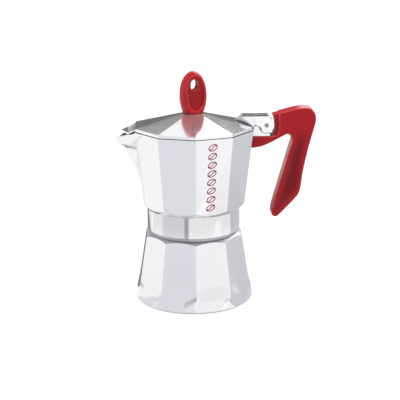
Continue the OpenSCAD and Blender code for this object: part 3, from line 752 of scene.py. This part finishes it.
outline = merged_copy("handle", "outline_guide")
select_outline(outline, side, lambda point: point.y > handle_half - SIDE_SLACK)
bpy.ops.object.mode_set(mode="OBJECT")
guide = [[outline.data.vertices[i].co for i in edge.vertices]
         for edge in outline.data.edges if edge.select]
starts, ends = (np.array([[pair[k].x, pair[k].z] for pair in guide]) for k in (0, 1))
bpy.data.objects.remove(outline)
print("outline guide", len(guide), "edges")

# %% [markdown]
# Only the outer skin of each side sinks, so the scoop fades out through the handle's thickness too.
# A smoothing pass then blends the scoop, the bevel and the skin as a mould would.

# %% Scoop the grip's sides
SCOOP_DEPTH = 2.7 * MM
RIM_WIDTH = (1.2 * MM, 6.5 * MM)
SHADE_WIDTH = (0.8 * MM, 6.0 * MM)
SCOOP_FADE = (pin_at.z - 20 * MM, pin_at.z - 4 * MM)
FLANK = (0.3, 0.9)

points = points_of(handle)
inset = distance_to(points[:, [0, 2]], starts, ends)
along = 1 - ramp(points[:, 2], *SCOOP_FADE)
flank = ramp(np.abs(points[:, 1]) / handle_half, *FLANK)
press = SCOOP_DEPTH * along * ramp(inset, *RIM_WIDTH) * flank
points[:, 1] -= np.sign(points[:, 1]) * press
put_points(handle, points)
# Painted shade: this stored value makes the material paint the scoop darker towards its middle.
store(handle, "sunk", along * ramp(inset, *SHADE_WIDTH) * flank)
apply_modifier(handle, "soften", "SMOOTH", factor=0.5, iterations=6)
pick(handle)
bpy.ops.object.shade_smooth()
dress(handle, red_plastic)
handle.visible_glossy = False
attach(handle, "collector")
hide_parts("handle")
print("deepest scoop", round(float(press.max()) / MM, 2), "mm")
print("handle faces", len(handle.data.polygons))

# %% [markdown]
# **Moulded knob.** The egg, its dished faces and the oval hole come from the frame. Each face also
# has an oval recess inside a raised rim, and a short smoothing gives the lip that a thumb feels.

# %% Shape the knob
KNOB_TURN = math.radians(22)
RECESS_HALF = (6.9 * MM, 12.5 * MM)
RECESS_UP = 14.2 * MM
RECESS_DEPTH = 2.2 * MM
RECESS_RIM = (0.84, 1.0)
OUTER_SKIN = 0.6
SHADE_FROM, SHADE_TO, SHADE = 0.4, 0.7, 0.55
KNOB_SKIN = 0.33 * MM
across = np.array((math.cos(KNOB_TURN), math.sin(KNOB_TURN), 0.0))
through = np.array((-math.sin(KNOB_TURN), math.cos(KNOB_TURN), 0.0))

knob = merged_copy("knob", "knob_moulding")
apply_modifier(knob, "skin", "REMESH", mode="VOXEL", voxel_size=KNOB_SKIN)
points = points_of(knob)
out = points @ through
knob_half = np.abs(out).max()
middle_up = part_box("knob")[0].z + RECESS_UP
oval = np.hypot((points @ across) / RECESS_HALF[0], (points[:, 2] - middle_up) / RECESS_HALF[1])
share = 1 - ramp(oval, *RECESS_RIM)
extra = np.maximum(np.abs(out) - (knob_half - RECESS_DEPTH * share), 0)
extra = np.where(np.abs(out) > knob_half * OUTER_SKIN, extra, 0)
points -= (np.sign(out) * extra)[:, None] * through
put_points(knob, points)
# Painted shade: the stored value makes the material paint the recess darker towards its middle.
outer = ramp(np.abs(out), knob_half * SHADE_FROM, knob_half * SHADE_TO)
store(knob, "sunk", SHADE * share * outer)
apply_modifier(knob, "soften", "SMOOTH", factor=0.5, iterations=3)
pick(knob)
bpy.ops.object.shade_smooth()
dress(knob, red_plastic)
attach(knob, "lid")
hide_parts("knob")
print("knob faces", len(knob.data.polygons))

# %% [markdown]
# **Printed motif.** A column of plain red coffee beans is screen-printed on the facet to the right
# of the front corner. The ink is a thin glossy coat, uneven where the screen's mesh pressed it.

# %% Material: printed ink
ink, tree, shader = new_material("printed_ink", coat_weight=0.2, coat_roughness=0.2)
place = object_place(tree)
screen = noise(tree, place, 2200.0, detail=2.0)
patch = noise(tree, place, 140.0, detail=3.0)
tone = mix_colour(tree, patch, (0.43, 0.012, 0.055, 1), (0.34, 0.010, 0.050, 1))
rough = maths(tree, "MULTIPLY_ADD", screen, 0.2, 0.3)
finish_shader(tree, shader, tone, rough, screen, 0.2, 0.02 * MM)
print(ink.name, len(tree.nodes), "nodes")

# %% [markdown]
# The print lies flat on its facet, which leans outwards, so the facet is found on the finished
# casting by the way it faces. Its own two directions and its middle are where the beans go.

# %% Find the facet
FACET_ANGLE = math.radians(-72)
facet_way = Vector((math.cos(FACET_ANGLE), math.sin(FACET_ANGLE), 0))
facing = [face for face in collector.data.polygons if face.normal.dot(facet_way) > 0.97]
facet = max(facing, key=lambda face: face.area)
facet_u = Vector((0, 0, 1)).cross(facet.normal).normalized()
facet_v = facet.normal.cross(facet_u)
corners = [collector.data.vertices[i].co for i in facet.vertices]
facet_middle = sum(corners, Vector()) / len(corners)
heights = [(c - facet_middle).dot(facet_v) for c in corners]
facet_middle = facet_middle + facet_v * (max(heights) + min(heights)) / 2
print("facet normal", [round(n, 3) for n in facet.normal])

# %% [markdown]
# One bean is a ring with a curved slit. The ring is a circle, squashed and inset, and the slit is a
# strip, subdivided and bent into a wave. Each bean is drawn flat and then laid on the facet.

# %% Helper: draw one bean
BEAN_HALF = (3.6 * MM, 2.5 * MM)
BEAN_STROKE = 0.72 * MM
BEAN_TILT = math.radians(24)
SLIT_WAVE = 0.55 * MM
SLIT_CUTS = 15
RING_POINTS = 40


def bean(number, up):
    """One flat bean outline with a curved slit, at a height on the facet."""
    deselect()
    bpy.ops.mesh.primitive_circle_add(vertices=RING_POINTS, radius=BEAN_HALF[0], fill_type="NGON")
    piece = bpy.context.active_object
    piece.name = f"bean_{number}"
    bpy.ops.object.mode_set(mode="EDIT")
    bpy.ops.mesh.select_all(action="SELECT")
    bpy.ops.transform.resize(value=(1, BEAN_HALF[1] / BEAN_HALF[0], 1))
    bpy.ops.mesh.inset(thickness=BEAN_STROKE)
    bpy.ops.mesh.delete(type="ONLY_FACE")
    bpy.ops.object.mode_set(mode="OBJECT")
    deselect()
    bpy.ops.mesh.primitive_plane_add(size=1)
    slit = bpy.context.active_object
    bpy.ops.object.mode_set(mode="EDIT")
    bpy.ops.mesh.select_all(action="SELECT")
    reach = 2 * (BEAN_HALF[0] - BEAN_STROKE * 0.5)
    bpy.ops.transform.resize(value=(reach, BEAN_STROKE, 1))
    bpy.ops.mesh.subdivide(number_cuts=SLIT_CUTS)
    bpy.ops.object.mode_set(mode="OBJECT")
    for vertex in slit.data.vertices:
        vertex.co.y += SLIT_WAVE * math.sin(2 * math.pi * vertex.co.x / reach)
    deselect()
    slit.select_set(True)
    piece.select_set(True)
    bpy.context.view_layer.objects.active = piece
    bpy.ops.object.join()
    spot = facet_middle + facet_v * up
    frame_here = Matrix((facet_u, facet_v, facet.normal)).transposed().to_4x4()
    tilt = Matrix.Rotation(BEAN_TILT, 4, "Z")
    piece.data.transform(Matrix.Translation(spot) @ frame_here @ tilt)
    piece.matrix_world = Matrix.Identity(4)
    return piece


print("bean helper ready")

# %% [markdown]
# Eight beans run down the facet. They are joined, because they are one print, and given the
# thickness of a coat of ink. The print rides the collector.

# %% Print the column of beans
BEAN_PITCH = 6.5 * MM
BEAN_COUNT = 8
INK_T = 0.06 * MM

beans = [bean(i, (i - (BEAN_COUNT - 1) / 2) * BEAN_PITCH) for i in range(BEAN_COUNT)]
deselect()
for piece in beans:
    piece.select_set(True)
bpy.context.view_layer.objects.active = beans[0]
bpy.ops.object.join()
motif = bpy.context.active_object
motif.name = "printed_beans"
apply_modifier(motif, "ink", "SOLIDIFY", thickness=INK_T, offset=0.6)
dress(motif, ink)
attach(motif, "collector")
print("beans", BEAN_COUNT, "faces", len(motif.data.polygons))

# %% [markdown]
# **Floor.** The pot stands on a plain pale sheet. The sheet glows by itself, so that it stays an
# even pale tone however the lamps fall on it.

# %% Lay the floor
def plain_paint(name, lighter, darker, **constants):
    """A matt grey with a slow mottle between two tones."""
    paint, tree, shader = new_material(name, specular_ior_level=0.0, **constants)
    mottle = noise(tree, object_place(tree), 6.0, detail=3.0)
    tone = mix_colour(tree, mottle, (lighter,) * 3 + (1,), (darker,) * 3 + (1,))
    tree.links.new(tone, shader.inputs["Base Color"])
    return paint, shader


def sheet(name, size, depth, paint):
    """A square sheet that lies a little below the foot."""
    deselect()
    bpy.ops.mesh.primitive_plane_add(size=size, location=(0, 0, -depth))
    piece = bpy.context.active_object
    piece.name = name
    dress(piece, paint)
    piece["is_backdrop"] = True
    return piece


FLOOR_SIZE, FLOOR_DEPTH = 8, 0.3 * MM
floor_paint, shader = plain_paint("floor_paint", 0.14, 0.12, roughness=0.6, emission_strength=0.90)
shader.inputs["Emission Color"].default_value = (1, 1, 1, 1)
floor = sheet("floor", FLOOR_SIZE, FLOOR_DEPTH, floor_paint)
floor.visible_diffuse = False
print("floor laid", FLOOR_SIZE, "m wide")

# %% [markdown]
# A glowing floor would light the plastic from below as strongly as the sky does from above, and
# every moulding would look flat. So scattered light passes through it to a dark sheet just below.

# %% Shade the floor's glow
SHADE_SIZE, SHADE_DEPTH = 3, 0.6 * MM
shade_paint, shader = plain_paint("shade_paint", 0.22, 0.18, roughness=0.9)
shade = sheet("floor_shade", SHADE_SIZE, SHADE_DEPTH, shade_paint)
shade.visible_camera = False
shade.visible_glossy = False
shade.visible_shadow = False
print("shade laid", SHADE_SIZE, "m wide")

# %% [markdown]
# **Reflection cards.** A studio stands grey cards round polished metal, because a wholly white room
# would wash its facets out. A card is a bare sheet that glows in one tone or a fade, and only
# mirror-like rays see it, so it changes what the metal shows and nothing else.

# %% Helpers: a card and its glow
def card_material(name, tint, low, high, ends):
    """Light that runs from ends[0] at height low to ends[1] at height high."""
    material = bpy.data.materials.new(name)
    material.use_nodes = True
    tree = material.node_tree
    tree.nodes.clear()
    height = add(tree, "ShaderNodeSeparateXYZ", {0: object_place(tree)}).outputs[2]
    level = stretch_range(tree, height, low, high, *ends)
    glow = add(tree, "ShaderNodeEmission", {"Color": (*tint, 1), "Strength": level})
    tree.links.new(glow.outputs[0], add(tree, "ShaderNodeOutputMaterial").inputs[0])
    return material


def card(name, verts, faces, material):
    """A card that only mirror-like rays see."""
    mesh = bpy.data.meshes.new(name)
    mesh.from_pydata(verts, [], faces)
    mesh.materials.append(material)
    piece = bpy.data.objects.new(name, mesh)
    bpy.context.scene.collection.objects.link(piece)
    piece.visible_camera = False
    piece.visible_diffuse = False
    piece.visible_shadow = False
    piece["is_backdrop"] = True
    return piece


print("card helpers ready")

# %% [markdown]
# Seen from a little above, the facets mirror what lies low round the pot, so these cards start near
# the foot and bend up into a wall. Each covers only the compass angles that its facets mirror.

# %% Helper: a card bent up at its far edge
LAVENDER = (0.94, 0.95, 1.0)
NEUTRAL = (1.0, 1.0, 1.0)
BEND_STEPS = 24
OFF_FLOOR = 1 * MM


def bent_card(name, way, reach, top, ends):
    """A card on the floor, bent up into a wall at its far edge. way is its (from, to) compass
    angles, reach its (near, far) radius, top the wall's height, and ends its brightness on the
    floor and at the top."""
    near, far = reach
    profile = [(near, OFF_FLOOR), (far, OFF_FLOOR), (far, top)]
    verts, n = [], len(profile)
    for i in range(BEND_STEPS + 1):
        angle = math.radians(way[0] + (way[1] - way[0]) * i / BEND_STEPS)
        verts += [(r * math.cos(angle), r * math.sin(angle), z) for r, z in profile]
    faces = [(i * n + j, (i + 1) * n + j, (i + 1) * n + j + 1, i * n + j + 1)
             for i in range(BEND_STEPS) for j in range(n - 1)]
    return card(name, verts, faces, card_material(name, LAVENDER, 0, top, ends))


print("bent card helper ready")

# %% [markdown]
# A pale card stands on the left and a greyer one on the right, each with a small one by the foot,
# and a narrow darker one stands at the front. Two dark ones are behind the pot: one lies flat on
# the floor, and one is upright at the height of the lid.

# %% Stand the cards
bent_card("card_left_front", (-170, -116), (0.03, 0.9), 0.5, (0.90, 0.98))
bent_card("card_left_foot", (-118, -92), (0.03, 0.14), 0.002, (0.90, 0.90))
bent_card("card_gap", (-114, -104), (0.16, 0.88), 0.3, (0.47, 0.54))
bent_card("card_right", (4, 60), (0.03, 0.9), 0.5, (0.75, 0.84))
bent_card("card_right_foot", (-47, 6), (0.03, 0.15), 0.002, (0.75, 0.75))

left, right, near, far, up = -0.15, 0.02, 0.02, 0.45, 0.0005
card("card_behind", [(left, near, up), (right, near, up), (right, far, up), (left, far, up)],
     [(0, 1, 2, 3)], card_material("card_behind", NEUTRAL, 0, 1, (0.24, 0.24)))
left, right, low, high, back, fade_from = -0.13, 0.085, 0.142, 0.216, 0.11, 0.155
card("card_over_lid",
     [(left, back, low), (right, back, low), (right, back, high), (left, back, high)],
     [(0, 1, 2, 3)], card_material("card_over_lid", NEUTRAL, fade_from, high, (0.07, 0.26)))

# %% [markdown]
# The looks are done. The box of what shows is compared with the box of the frame, and how far each
# side moved is printed, because dressing the pot must not have made it any bigger.

# %% Compare the size
shown_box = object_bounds()
before, after = ([*box[0], *box[1]] for box in (cad_box, shown_box))
print("box moved by", [round((b - a) / MM, 2) for a, b in zip(before, after)], "mm")
